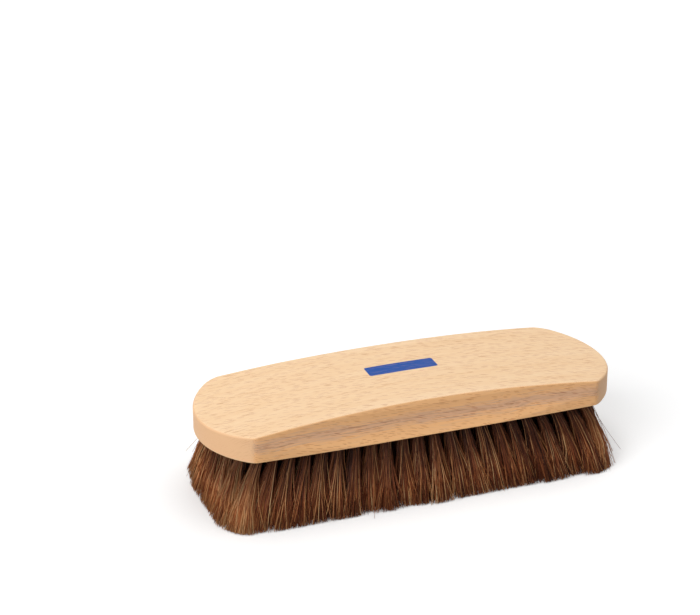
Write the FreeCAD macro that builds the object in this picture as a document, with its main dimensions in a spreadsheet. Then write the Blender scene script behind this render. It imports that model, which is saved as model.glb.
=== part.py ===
"""Shoe shine brush: a drilled beech block, folded horsehair tufts and the flat wire anchors that pin them.

Frame: X along the block, Y across it, Z up. The origin is at the middle of the trimmed bristle face,
so the brush stands on its bristles at Z = 0. All sizes are millimetres.
"""
import FreeCAD, Part
import Sketcher
import math
import os

from FreeCAD import Placement, Rotation, Vector

# The driving dimensions, each with its note.
SIZES = [
    ("block_length", 180.0, "block, end to end"),
    ("block_width", 61.5, "block, side to side at its middle"),
    ("block_height", 15.3, "block, underside to the crown of its arched back"),
    ("end_height", 9.4, "block, underside to the back at its two ends"),
    ("side_bow", 1.6, "how far each long side falls in from the middle to the ends"),
    ("end_round", 16.8, "how far each end is rounded out over the width of the block, seen from above"),
    ("corner_radius", 7.5, "round between an end and a long side, seen from above"),
    ("edge_ease", 0.3, "eased edge round the underside"),
    ("grip_depth", 2.5, "finger hollow in each long side, at its deepest"),
    ("grip_height", 10.4, "finger hollow, underside to its deepest line"),
    ("grip_radius", 24.0, "finger hollow, round of its cutter seen from the end"),
    ("grip_path", 2000.0, "finger hollow, round of the cutter's path seen from above"),
    ("lip_height", 12.9, "underside to the lower edge of the lip above a finger hollow"),
    ("lip_lean", 10.0, "lean of the lip towards the middle of the block, in degrees"),
    ("bristle_height", 28.5, "hair from the underside to the trimmed face"),
    ("rows_across", 7, "tufts in each cross row"),
    ("rows_along", 22, "cross rows along the block"),
    ("side_margin", 8.8, "side of the block to the middle of the outer holes"),
    ("end_margin", 13.0, "end of the block to the middle of the last hole"),
    ("hole_diameter", 4.6, "tuft hole across its flats"),
    ("hole_depth", 8.0, "tuft hole along its own axis"),
    ("end_flare", 8.4, "lean of the last tufts towards the ends, over the bristle height"),
    ("side_flare", 8.8, "lean of the outer tufts towards the sides at the middle, over the bristle height"),
    ("trim_bow", 1.0, "how far each side of the trimmed face falls in from the middle to the ends"),
    ("trim_round", 3.0, "how far each end of the trimmed face is rounded out from its sides to its middle"),
    ("tuft_clearance", 0.1, "tuft to the wall and to the floor of its hole"),
    ("tuft_gap", 0.5, "between neighbouring tufts at the trimmed face"),
    ("tuft_fold", 2.7, "tuft across its folded end, at the floor of the hole"),
    ("tuft_slope", 0.35, "slope of the two pointed sides of a tuft, seen from its end"),
    ("anchor_thickness", 0.4, "flat wire anchor"),
    ("anchor_width", 1.8, "flat wire anchor, along the axis of its hole"),
    ("anchor_seat", 1.2, "hair folded between an anchor and the floor of its hole"),
    ("anchor_clearance", 0.03, "anchor to the hair folded round it"),
]


# A tuft and its hole are six-sided, which keeps so many of them light.
SIDES = 6


def make_sheet(doc):
    """Puts the driving dimensions in a spreadsheet and returns it."""
    sheet = doc.addObject("Spreadsheet::Sheet", "sizes")
    for line, (alias, value, note) in enumerate(SIZES, 1):
        sheet.set(f"A{line}", alias)
        sheet.set(f"B{line}", str(value))
        sheet.set(f"C{line}", note)
        sheet.setAlias(f"B{line}", alias)
    doc.recompute()
    return sheet


def origin_plane(body, role):
    """The body's own origin plane with that role, such as XY_Plane."""
    return next(item for item in body.Origin.OriginFeatures if item.Role == role)


def new_sketch(body, name, role):
    """An empty sketch on one of the body's origin planes."""
    sketch = body.newObject("Sketcher::SketchObject", name)
    sketch.AttachmentSupport = [(origin_plane(body, role), "")]
    sketch.MapMode = "FlatFace"
    return sketch


def drive(sketch, constraint, name, expression):
    """Adds a dimension to a sketch and ties it to the sheet."""
    index = sketch.addConstraint(constraint)
    sketch.renameConstraint(index, name)
    sketch.setExpression(f"Constraints.{name}", expression)


def arc(centre, radius, start, end):
    """An arc of a circle in the sketch plane, anticlockwise from start to end, in radians."""
    circle = Part.Circle(Vector(centre[0], centre[1], 0), Vector(0, 0, 1), radius)
    return Part.ArcOfCircle(circle, start, end)


def arc_radius(half_chord, rise):
    """Radius of the arc that rises so far over a chord."""
    return (half_chord**2 + rise**2) / (2 * rise)


def arc_radius_cells(half_chord, rise):
    """The same radius as an expression on the sheet's cells."""
    return f"(({half_chord})^2 + ({rise})^2) / (2 * ({rise}))"


class Outline:
    """The block seen from above, as tangent arcs: two ends, two bowed sides and four corners."""

    def __init__(self, s):
        self.end_radius = arc_radius(s.block_width / 2, s.end_round)
        self.corner_radius = s.corner_radius
        self.side_radius = arc_radius(s.block_length / 2, s.side_bow)
        self.end_x = s.block_length / 2 - self.end_radius
        self.side_y = s.block_width / 2 - self.side_radius
        # A corner's centre lies at known distances from an end's centre and a side's centre.
        to_end = self.end_radius - self.corner_radius
        to_side = self.side_radius - self.corner_radius
        apart = math.hypot(self.end_x, self.side_y)
        along = (to_end**2 - to_side**2 + apart**2) / (2 * apart)
        across = math.sqrt(to_end**2 - along**2)
        ux, uy = -self.end_x / apart, self.side_y / apart
        self.corner = (self.end_x + along * ux - across * uy, along * uy + across * ux)
        self.end_angle = math.atan2(self.corner[1], self.corner[0] - self.end_x)
        self.side_angle = math.atan2(self.corner[1] - self.side_y, self.corner[0])

    def arcs(self):
        """The eight arcs in order, anticlockwise from the right-hand end."""
        x, y = self.corner
        a, b, half = self.end_angle, self.side_angle, math.pi
        end, corner, side = self.end_radius, self.corner_radius, self.side_radius
        return [
            arc((self.end_x, 0), end, -a, a),
            arc((x, y), corner, a, b),
            arc((0, self.side_y), side, b, half - b),
            arc((-x, y), corner, half - b, half - a),
            arc((-self.end_x, 0), end, half - a, half + a),
            arc((-x, -y), corner, half + a, half + b),
            arc((0, -self.side_y), side, half + b, 2 * half - b),
            arc((x, -y), corner, 2 * half - b, 2 * half - a),
        ]


def sketch_outline(body, s):
    """The block's outline on its underside."""
    sketch = new_sketch(body, "outline", "XY_Plane")
    shape = Outline(s)
    sketch.addGeometry(shape.arcs(), False)
    start, end, centre, origin = 1, 2, 3, -1
    for item in range(8):
        sketch.addConstraint(Sketcher.Constraint("Tangent", item, end, (item + 1) % 8, start))
    for item in (0, 4):
        sketch.addConstraint(Sketcher.Constraint("PointOnObject", item, centre, -1))
    for item in (2, 6):
        sketch.addConstraint(Sketcher.Constraint("PointOnObject", item, centre, -2))
    end_bend = arc_radius_cells("sizes.block_width / 2", "sizes.end_round")
    side_bend = arc_radius_cells("sizes.block_length / 2", "sizes.side_bow")
    for item in (0, 4):
        drive(sketch, Sketcher.Constraint("Radius", item, shape.end_radius), f"end_{item}", end_bend)
    for item in (1, 3, 5, 7):
        drive(
            sketch,
            Sketcher.Constraint("Radius", item, s.corner_radius),
            f"corner_{item}",
            "sizes.corner_radius",
        )
    for item in (2, 6):
        drive(sketch, Sketcher.Constraint("Radius", item, shape.side_radius), f"side_{item}", side_bend)
    half_length = f"sizes.block_length / 2 - {end_bend}"
    half_width = f"{side_bend} - sizes.block_width / 2"
    for name, first, second, value, expression in (
        ("DistanceX", (origin, 1), (0, centre), shape.end_x, half_length),
        ("DistanceX", (4, centre), (origin, 1), shape.end_x, half_length),
        ("DistanceY", (2, centre), (origin, 1), -shape.side_y, half_width),
        ("DistanceY", (origin, 1), (6, centre), -shape.side_y, half_width),
    ):
        label = f"place_{max(first[0], second[0])}"
        drive(sketch, Sketcher.Constraint(name, *first, *second, value), label, expression)
    return sketch


def sketch_arch(body, s):
    """What is sawn off above the block's arched back, seen from the side."""
    sketch = new_sketch(body, "arch", "XZ_Plane")
    rise = s.block_height - s.end_height
    radius = arc_radius(s.block_length / 2, rise)
    middle = s.block_height - radius
    spare = s.block_height
    reach = s.block_length / 2 + spare
    low = middle + math.sqrt(radius**2 - reach**2)
    high = s.block_height + spare
    angle = math.acos(reach / radius)
    corners = [Vector(-reach, low), Vector(-reach, high), Vector(reach, high), Vector(reach, low)]
    lines = [Part.LineSegment(a, b) for a, b in zip(corners, corners[1:])]
    sketch.addGeometry([*lines, arc((0, middle), radius, angle, math.pi - angle)], False)
    start, end, centre, origin, bow = 1, 2, 3, -1, 3
    for first, second in (((0, end), (1, start)), ((1, end), (2, start)), ((2, end), (bow, start))):
        sketch.addConstraint(Sketcher.Constraint("Coincident", *first, *second))
    sketch.addConstraint(Sketcher.Constraint("Coincident", bow, end, 0, start))
    sketch.addConstraint(Sketcher.Constraint("Vertical", 0))
    sketch.addConstraint(Sketcher.Constraint("Horizontal", 1))
    sketch.addConstraint(Sketcher.Constraint("Vertical", 2))
    sketch.addConstraint(Sketcher.Constraint("PointOnObject", bow, centre, -2))
    bend = arc_radius_cells("sizes.block_length / 2", "sizes.block_height - sizes.end_height")
    width = "sizes.block_length / 2 + sizes.block_height"
    for name, first, second, value, label, expression in (
        ("DistanceY", (bow, centre), (origin, 1), -middle, "drop", f"{bend} - sizes.block_height"),
        ("DistanceX", (0, end), (origin, 1), reach, "left", width),
        ("DistanceX", (origin, 1), (1, end), reach, "right", width),
        ("DistanceY", (origin, 1), (1, end), high, "top", "2 * sizes.block_height"),
    ):
        drive(sketch, Sketcher.Constraint(name, *first, *second, value), label, expression)
    drive(sketch, Sketcher.Constraint("Radius", bow, radius), "bend", bend)
    return sketch


def sketch_grip(body, s):
    """The cutter that hollows a long side for the fingers, seen from the end, and the axis that it swings about."""
    sketch = new_sketch(body, "grip", "YZ_Plane")
    side = s.block_width / 2
    middle = (side - s.grip_depth + s.grip_radius, s.grip_height)
    low = -s.edge_ease
    high = 2 * s.block_height
    top_turn = math.asin((s.lip_height - s.grip_height) / s.grip_radius)
    low_turn = math.asin((s.grip_height - low) / s.grip_radius)
    lip = middle[0] - s.grip_radius * math.cos(top_turn)
    back = lip - (high - s.lip_height) * math.tan(math.radians(s.lip_lean))
    out = side + s.grip_radius
    pivot = side - s.grip_depth + s.grip_path
    corners = [
        Vector(lip, s.lip_height),
        Vector(back, high),
        Vector(out, high),
        Vector(out, low),
        Vector(middle[0] - s.grip_radius * math.cos(low_turn), low),
    ]
    hollow = arc(middle, s.grip_radius, math.pi - top_turn, math.pi + low_turn)
    lines = [Part.LineSegment(a, b) for a, b in zip(corners, corners[1:])]
    sketch.addGeometry([hollow, *lines], False)
    sketch.addGeometry(Part.LineSegment(Vector(pivot, 0), Vector(pivot, s.block_height)), True)
    start, end, centre, origin, axis = 1, 2, 3, -1, 5
    for first, second in (((0, start), (1, start)), ((4, end), (0, end))):
        sketch.addConstraint(Sketcher.Constraint("Coincident", *first, *second))
    for item in (1, 2, 3):
        sketch.addConstraint(Sketcher.Constraint("Coincident", item, end, item + 1, start))
    for item in (3, axis):
        sketch.addConstraint(Sketcher.Constraint("Vertical", item))
    for item in (2, 4):
        sketch.addConstraint(Sketcher.Constraint("Horizontal", item))
    sketch.addConstraint(Sketcher.Constraint("PointOnObject", axis, start, -1))
    drive(sketch, Sketcher.Constraint("Radius", 0, s.grip_radius), "hollow", "sizes.grip_radius")
    deepest = "sizes.block_width / 2 - sizes.grip_depth"
    climb = "(sizes.lip_height - sizes.grip_height)"
    lip_cell = f"{deepest} + sizes.grip_radius - sqrt(sizes.grip_radius^2 - {climb}^2)"
    lean_cell = "(2 * sizes.block_height - sizes.lip_height) * tan(sizes.lip_lean * 1 deg)"
    for name, point, value, label, expression in (
        ("DistanceX", (0, centre), middle[0], "hollow_out", f"{deepest} + sizes.grip_radius"),
        ("DistanceY", (0, centre), middle[1], "hollow_up", "sizes.grip_height"),
        ("DistanceY", (0, start), s.lip_height, "lip_up", "sizes.lip_height"),
        ("DistanceY", (0, end), low, "spare_down", "-sizes.edge_ease"),
        ("DistanceX", (1, end), back, "lip_back", f"{lip_cell} - {lean_cell}"),
        ("DistanceX", (3, end), out, "spare_out", "sizes.block_width / 2 + sizes.grip_radius"),
        ("DistanceY", (2, end), high, "spare_up", "2 * sizes.block_height"),
        ("DistanceX", (axis, start), pivot, "pivot_out", f"{deepest} + sizes.grip_path"),
        ("DistanceY", (axis, end), s.block_height, "pivot_up", "sizes.block_height"),
    ):
        drive(sketch, Sketcher.Constraint(name, origin, 1, *point, value), label, expression)
    return sketch


def hollow_sides(body, sketch):
    """Swings the cutter along one long side and mirrors it to the other."""
    before = body.Shape.Volume
    groove = body.newObject("PartDesign::Groove", "finger_hollow")
    groove.Profile = sketch
    groove.ReferenceAxis = (sketch, ["Axis0"])
    groove.Midplane = True
    groove.setExpression("Angle", "2 * asin(sizes.block_length / 2 / sizes.grip_path)")
    body.Document.recompute()
    once = body.Shape.Volume
    mirrored = body.newObject("PartDesign::Mirrored", "finger_hollows")
    mirrored.Originals = [groove]
    mirrored.MirrorPlane = (origin_plane(body, "XZ_Plane"), [""])
    body.Tip = mirrored
    body.Document.recompute()
    if not body.Shape.Volume < once < before:
        raise RuntimeError("a finger hollow cut nothing")


def cut_through(body, name, sketch):
    """A pocket that goes right through the block, both ways from the sketch."""
    before = body.Shape.Volume
    pocket = body.newObject("PartDesign::Pocket", name)
    pocket.Profile = sketch
    pocket.Type = "ThroughAll"
    pocket.Midplane = True
    body.Document.recompute()
    if body.Shape.Volume >= before:
        raise RuntimeError(f"{name} cut nothing")
    return pocket


def eased_edges(shape):
    """Names of the edges round the flat underside."""
    wanted = min(shape.Faces, key=lambda face: face.CenterOfMass.z).OuterWire.Edges
    return [
        f"Edge{number}"
        for number, edge in enumerate(shape.Edges, 1)
        if any(edge.isSame(other) for other in wanted)
    ]


def make_blank(doc, s):
    """The shaped block before it is drilled."""
    body = doc.addObject("PartDesign::Body", "blank")
    body.setExpression("Placement.Base.z", "sizes.bristle_height")
    outline = sketch_outline(body, s)
    doc.recompute()
    pad = body.newObject("PartDesign::Pad", "board")
    pad.Profile = outline
    pad.setExpression("Length", "sizes.block_height")
    doc.recompute()
    arch = sketch_arch(body, s)
    doc.recompute()
    back = cut_through(body, "arched_back", arch)
    ease = body.newObject("PartDesign::Chamfer", "eased_edges")
    ease.Base = (back, eased_edges(back.Shape))
    ease.setExpression("Size", "sizes.edge_ease")
    doc.recompute()
    grip = sketch_grip(body, s)
    doc.recompute()
    hollow_sides(body, grip)
    return body


class Tuft:
    """Where one tuft sits: the middle of its hole's mouth, the middle of its trimmed end, and its hole's axis."""

    def __init__(self, s, column, row):
        across = 2 * row / (s.rows_across - 1) - 1 if s.rows_across > 1 else 0
        along = 2 * column / (s.rows_along - 1) - 1 if s.rows_along > 1 else 0
        side = s.block_width / 2 - s.side_margin
        y = across * side
        # The last cross rows follow the round of the block's ends.
        last = s.block_length / 2 - s.end_margin
        bend = arc_radius(s.block_width / 2, s.end_round)
        end = last - bend + math.sqrt(bend**2 - y**2)
        # The trimmed face is squarer than the block.
        reach_x = last + s.end_flare - s.trim_round * across**2
        reach_y = side + s.side_flare - s.trim_bow * along**2
        self.mouth = Vector(along * end, y, s.bristle_height)
        self.tip = Vector(along * reach_x, across * reach_y, 0)
        self.axis = (self.mouth - self.tip).normalize()
        self.turn = Rotation(Vector(0, 0, 1), self.axis)
        self.half_tip_x = (2 * reach_x / max(s.rows_along - 1, 1) - s.tuft_gap) / 2
        self.half_tip_y = (2 * reach_y / max(s.rows_across - 1, 1) - s.tuft_gap) / 2

    def at(self, depth):
        """The placement of the hole's axis at that depth below its mouth."""
        return Placement(self.mouth + self.axis * depth, self.turn)


def ring(centre, half_x, half_y, slope):
    """Corners of a flat six-sided section round a centre, with its points across the block."""
    shoulder = half_y - slope * half_x
    right = [(half_x, -shoulder), (half_x, shoulder)]
    left = [(-x, -y) for x, y in right]
    corners = [*right, (0, half_y), *left, (0, -half_y)]
    return [centre + Vector(x, y, 0) for x, y in corners]


def flared(low, high):
    """The solid between two six-sided sections with parallel sides, so that all its faces are flat."""
    walls = [
        Part.Face(Part.makePolygon([low[i - 1], low[i], high[i], high[i - 1], low[i - 1]]))
        for i in range(len(low))
    ]
    ends = [Part.Face(Part.makePolygon([*points, points[0]])) for points in (low, high)]
    solid = Part.makeSolid(Part.makeShell(walls + ends))
    if solid.Volume < 0:
        solid.reverse()
    return solid


def make_drill(doc):
    """One tuft hole as a tool, standing on the mouth of the hole and reaching a little out of it."""
    drill = doc.addObject("Part::Prism", "drill")
    drill.Polygon = SIDES
    drill.setExpression("Circumradius", f"sizes.hole_diameter / 2 / cos(180deg / {SIDES})")
    drill.setExpression("Height", "sizes.hole_depth + sizes.hole_diameter")
    return drill


def make_anchor(doc):
    """One flat wire anchor, standing on the middle of its lower edge."""
    anchor = doc.addObject("Part::Box", "anchor")
    anchor.setExpression("Length", "sizes.hole_diameter")
    anchor.setExpression("Width", "sizes.anchor_thickness")
    anchor.setExpression("Height", "sizes.anchor_width")
    return anchor


def hole_tool(drill, tuft, s):
    """The drill set in one hole, with a flat of the hole facing along the block."""
    tool = drill.Shape.copy()
    half_flat = Rotation(Vector(0, 0, 1), 180 / SIDES)
    tool.Placement = tuft.at(-s.hole_diameter).multiply(Placement(Vector(), half_flat))
    return tool


def anchor_in_place(anchor, tuft, s):
    """One anchor, wedged across its hole along the grain with the tuft's fold behind it."""
    piece = anchor.Shape.copy()
    middle = Vector(-s.hole_diameter / 2, -s.anchor_thickness / 2, 0)
    depth = s.hole_depth - s.anchor_seat - s.anchor_width
    piece.Placement = tuft.at(depth).multiply(Placement(middle, Rotation()))
    return piece


def tuft_in_place(tuft, s):
    """One folded tuft: it flares from the floor of its hole to the trimmed face, with a slot for its anchor."""
    lean = math.acos(tuft.axis.z)
    rim = s.hole_diameter / 2 / math.cos(math.pi / SIDES)
    rise = s.hole_depth * math.cos(lean) - rim * math.sin(lean) - s.tuft_clearance
    top = tuft.mouth + tuft.axis * (rise / tuft.axis.z)
    fold = ring(top, s.tuft_fold / 2, s.tuft_fold / 2, s.tuft_slope)
    tip = ring(tuft.tip, tuft.half_tip_x, tuft.half_tip_y, s.tuft_slope)
    hair = flared(tip, fold)
    room = s.anchor_clearance
    slot = Part.makeBox(
        s.hole_diameter, s.anchor_thickness + 2 * room, s.anchor_width + 2 * room
    )
    depth = s.hole_depth - s.anchor_seat - s.anchor_width - room
    middle = Vector(-s.hole_diameter / 2, -s.anchor_thickness / 2 - room, 0)
    slot.Placement = tuft.at(depth).multiply(Placement(middle, Rotation()))
    return hair.cut(slot)


def add_group(doc, label, solids):
    """One node that holds several separate solids."""
    group = doc.addObject("Part::Feature", label)
    group.Shape = Part.makeCompound(solids)
    group.Label = label
    return group


def make_brush(doc):
    """Builds every sub-part and returns the list of nodes."""
    s = make_sheet(doc)
    blank = make_blank(doc, s)
    drill = make_drill(doc)
    anchor = make_anchor(doc)
    doc.recompute()
    columns = [
        [Tuft(s, column, row) for row in range(int(s.rows_across))]
        for column in range(int(s.rows_along))
    ]
    holes = [hole_tool(drill, tuft, s) for tufts in columns for tuft in tufts]
    drilling = add_group(doc, "drilling", holes)
    block = doc.addObject("Part::Cut", "beech_block")
    block.Base = blank
    block.Tool = drilling
    doc.recompute()
    nodes = [block]
    for number, tufts in enumerate(columns, 1):
        hair = [tuft_in_place(tuft, s) for tuft in tufts]
        wire = [anchor_in_place(anchor, tuft, s) for tuft in tufts]
        nodes.append(add_group(doc, f"tuft_row_{number:02d}", hair))
        nodes.append(add_group(doc, f"anchor_row_{number:02d}", wire))
    doc.recompute()
    return nodes


def check(doc, nodes):
    """Stops before anything is written if an object failed or a shape isn't sound."""
    for item in doc.Objects:
        if "Invalid" in item.State or "Error" in item.State:
            raise RuntimeError(f"{item.Name} failed: {item.State}")
    for node in nodes:
        if node.Shape.isNull() or not node.Shape.isValid() or not node.Shape.Solids:
            raise RuntimeError(f"{node.Label} has no sound solid")


def main():
    """Builds the brush and writes each node's solids to its own file."""
    doc = FreeCAD.newDocument("shoe_shine_brush")
    nodes = make_brush(doc)
    check(doc, nodes)
    os.makedirs("parts", exist_ok=True)
    for node in nodes:
        node.Shape.exportStep(f"parts/{node.Label}.step")
    print(f"{len(nodes)} nodes, {sum(len(node.Shape.Solids) for node in nodes)} solids")


main()
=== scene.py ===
"""Shoe shine brush: a beech block set with flaring horsehair tufts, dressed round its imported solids.

Frame: X along the block, Y across it, Z up. The brush stands on its trimmed hair at Z = 0.
Sizes are written in millimetres and meshes are made in metres.
"""

import logging
import math
from collections.abc import Mapping, Sequence
from dataclasses import dataclass, field, fields
from enum import Enum

import bmesh
import bpy
import numpy as np
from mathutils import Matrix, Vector

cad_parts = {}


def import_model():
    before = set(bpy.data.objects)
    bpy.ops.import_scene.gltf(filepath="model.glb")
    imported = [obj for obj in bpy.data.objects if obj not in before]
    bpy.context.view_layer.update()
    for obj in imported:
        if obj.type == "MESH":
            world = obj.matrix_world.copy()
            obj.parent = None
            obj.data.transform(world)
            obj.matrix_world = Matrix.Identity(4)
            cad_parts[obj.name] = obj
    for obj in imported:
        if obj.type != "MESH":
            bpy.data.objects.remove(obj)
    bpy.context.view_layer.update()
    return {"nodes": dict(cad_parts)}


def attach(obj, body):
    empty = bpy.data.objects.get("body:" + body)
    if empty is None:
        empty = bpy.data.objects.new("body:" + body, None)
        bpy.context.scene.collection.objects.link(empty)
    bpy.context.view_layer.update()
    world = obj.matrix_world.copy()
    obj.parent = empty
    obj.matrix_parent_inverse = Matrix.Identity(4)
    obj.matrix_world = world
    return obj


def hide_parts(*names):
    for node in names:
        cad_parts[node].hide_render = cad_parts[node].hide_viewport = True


LOG = logging.getLogger("shoe_shine_brush")
MM = 0.001
TINY = 1e-6
BODY = "root"
HAIR_MAP = "OFBake"
WHITE = (1.0, 1.0, 1.0, 1.0)

Tree = bpy.types.NodeTree
Source = bpy.types.Node | bpy.types.NodeSocket


class Slot(Enum):
    """The material slots for beech and horsehair."""

    BEECH = "beech"
    HORSEHAIR = "horsehair"


class Growth(Enum):
    """How a hair stands in its tuft, with the share of hairs that stand so."""

    STRAIGHT = 0.8
    CROSSING = 0.196
    STRAY = 0.004


def linear(colour: str) -> tuple[float, float, float, float]:
    """Turns an sRGB hex colour into linear RGBA.

    Args:
        colour: Six hex digits after a hash sign.

    Returns:
        Red, green and blue in linear light, and an alpha of one.
    """
    parts = [int(colour[i : i + 2], 16) / 255 for i in (1, 3, 5)]
    red, green, blue = (p / 12.92 if p <= 0.04045 else ((p + 0.055) / 1.055) ** 2.4 for p in parts)
    return red, green, blue, 1.0


def add_node(
    tree: Tree,
    kind: str,
    settings: Mapping[str, object] | None = None,
    inputs: Mapping[str | int, object] | None = None,
    stops: Sequence[tuple[float, str]] = (),
) -> bpy.types.Node:
    """Adds a shader node with its settings, its sockets' values and links, and its ramp's colours.

    Args:
        tree: The node tree that gets the node.
        kind: Blender's name of the node type, without the word ShaderNode before it.
        settings: Attributes of the node.
        inputs: Sockets by name or number, each with a plain value, the output to link or the node whose
            first output is linked.
        stops: Places, in rising order, and hex colours of a colour ramp.

    Returns:
        The new node.
    """
    node = tree.nodes.new(f"ShaderNode{kind}")
    for name, value in (settings or {}).items():
        setattr(node, name, value)
    for name, value in (inputs or {}).items():
        source = value.outputs[0] if isinstance(value, bpy.types.Node) else value
        if isinstance(source, bpy.types.NodeSocket):
            tree.links.new(source, node.inputs[name])
        else:
            node.inputs[name].default_value = source
    for number, (place, colour) in enumerate(stops):
        elements = node.color_ramp.elements
        # A new ramp already has two colours.
        element = elements[number] if number < 2 else elements.new(place)
        element.position = place
        element.color = linear(colour)
    return node


def shown_white(tree: Tree) -> Source:
    """Adds a mask of the rays that see the backdrop as plain white.

    Args:
        tree: The node tree that gets the mask.

    Returns:
        One for the camera's rays, reflections and what is seen through a surface, and nought for the light
        that falls on the brush.
    """
    rays = add_node(tree, "LightPath").outputs
    mask = rays["Is Camera Ray"]
    for kind in ("Is Glossy Ray", "Is Transmission Ray"):
        mask = add_node(tree, "Math", {"operation": "MAXIMUM"}, {0: mask, 1: rays[kind]})
    return mask


def new_material(name: str) -> tuple[bpy.types.Material, Tree]:
    """Makes an empty node material.

    Args:
        name: The material's name.

    Returns:
        The material and its node tree.
    """
    material = bpy.data.materials.new(name)
    material.use_nodes = True
    material.node_tree.nodes.clear()
    return material, material.node_tree


def deselect_all() -> None:
    """Leaves nothing selected, so that an operator acts on its own piece alone."""
    bpy.ops.object.select_all(action="DESELECT")


@dataclass(frozen=True)
class BeechFinish:
    """Sanded beech: pale straw wood with short darker rays along the grain, dull from fine sanding."""

    pale: str = "#f9d7af"
    warm: str = "#f4cda0"
    side: str = "#f5bd84"
    pink: str = "#dcae8c"
    vein: str = "#c08c64"
    end: str = "#eebf92"
    ray: str = "#be7c44"
    patch: str = "#12499a"
    ray_mm: tuple[float, float] = (5.8, 0.42)
    ray_rim: tuple[float, float] = (0.32, 0.24)
    ray_strength: tuple[float, float] = (0.5, 0.1)
    ray_fade: tuple[float, float] = (0.3, 0.8)
    side_rays: float = 0.95
    slant: float = 0.2
    streak_mm: tuple[float, float] = (14.0, 0.42)
    streak_detail: float = 3.0
    band_mm: tuple[float, float] = (300.0, 6.0)
    band_detail: float = 2.0
    ground_span: tuple[float, float] = (0.78, 1.22)
    drift_mm: tuple[float, float] = (45.0, 30.0)
    drift_detail: float = 1.0
    drift_depth_mm: float = 2.0
    facing_span: tuple[float, float] = (0.5, 0.95)
    end_span: tuple[float, float] = (0.3, 0.7)
    # A band of painted shade along the sides at mid-height, where the finger hollow lies.
    hollow_shade_mm: tuple[float, float] = (35.6, 4.0)
    hollow_shade_core: float = 0.2
    hollow_shade_tones: tuple[float, float] = (-0.2, 0.16)
    flank_places: tuple[float, float, float] = (0.1, 0.28, 0.6)
    patch_middle_mm: tuple[float, float] = (0.0, 4.0)
    patch_half_mm: tuple[float, float] = (15.2, 4.0)
    patch_corner_mm: float = 0.9
    patch_soft_mm: float = 0.1
    patch_above_mm: float = 38.0
    patch_wear: float = 0.86
    roughness: tuple[float, float] = (0.5, 0.64)
    roughness_span: tuple[float, float] = (0.3, 0.7)
    relief: float = 0.15
    relief_mm: float = 0.04
    ior: float = 1.5
    specular: float = 0.3

    @staticmethod
    def stretched(tree: Tree, place: Source, size: tuple[float, float]) -> Source:
        """Adds the place counted in marks of a length along the grain and a width, in millimetres."""
        long, wide = (1 / (value * MM) for value in size)
        return add_node(tree, "Mapping", inputs={"Vector": place, "Scale": (long, wide, wide)})

    def grain(self, tree: Tree, place: Source, size: tuple[float, float], detail: float) -> Source:
        """Adds noise that is stretched along the grain.

        Args:
            tree: The material's node tree.
            place: The place on the wood.
            size: Length and width of one mark, in millimetres.
            detail: Octaves of the noise.

        Returns:
            The noise.
        """
        marks = self.stretched(tree, place, size)
        return add_node(tree, "TexNoise", inputs={"Vector": marks, "Scale": 1.0, "Detail": detail})

    def drifted(self, tree: Tree, place: Source) -> Source:
        """Adds a place that sways, so that the grain wanders a little instead of running dead straight.

        Args:
            tree: The material's node tree.
            place: The place on the wood.

        Returns:
            The swaying place.
        """
        drift = self.grain(tree, place, self.drift_mm, self.drift_detail)
        depth = self.drift_depth_mm * MM
        sway = add_node(tree, "MapRange", inputs={"Value": drift, "To Min": -depth, "To Max": depth})
        aside = add_node(tree, "CombineXYZ", inputs={"Y": sway, "Z": sway})
        return add_node(tree, "VectorMath", {"operation": "ADD"}, {0: place, 1: aside})

    def slanted(self, tree: Tree, spot: Source, turned: Source, steep: Source) -> Source:
        """Adds the place for the rays, which slant a little to the block's length on its back and sides.

        The back's arch follows the grain, so its rays keep their length where the back falls away.

        Args:
            tree: The material's node tree.
            spot: The swaying place on the wood.
            turned: One on the sides and nought on the back.
            steep: Nought on the back and one on upright faces.

        Returns:
            The slanted place.
        """
        ahead = add_node(tree, "SeparateXYZ", inputs={"Vector": spot}).outputs["X"]
        lean = add_node(
            tree,
            "Mix",
            {"data_type": "VECTOR"},
            {"Factor": turned, 4: (0, self.slant, 0), 5: (0, 0, self.slant)},
        ).outputs[1]
        shift = add_node(tree, "VectorMath", {"operation": "SCALE"}, {0: lean, "Scale": ahead})
        keep = add_node(tree, "CombineXYZ", inputs={"X": 1.0, "Y": 1.0, "Z": steep})
        laid = add_node(tree, "VectorMath", {"operation": "MULTIPLY"}, {0: spot, 1: keep})
        return add_node(tree, "VectorMath", {"operation": "ADD"}, {0: laid, 1: shift})

    def flecks(self, tree: Tree, place: Source) -> Source:
        """Adds the lens-shaped rays that lie along the grain, one to a cell.

        Args:
            tree: The material's node tree.
            place: The place for the rays.

        Returns:
            One in the middle of a ray and nought between the rays.
        """
        marks = self.stretched(tree, place, self.ray_mm)
        cells = add_node(tree, "TexVoronoi", {"feature": "F1"}, {"Vector": marks, "Scale": 1.0})
        rim, core = self.ray_rim
        return add_node(
            tree,
            "MapRange",
            {"interpolation_type": "SMOOTHSTEP"},
            {"Value": cells, "From Min": rim, "From Max": core},
        )

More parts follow.
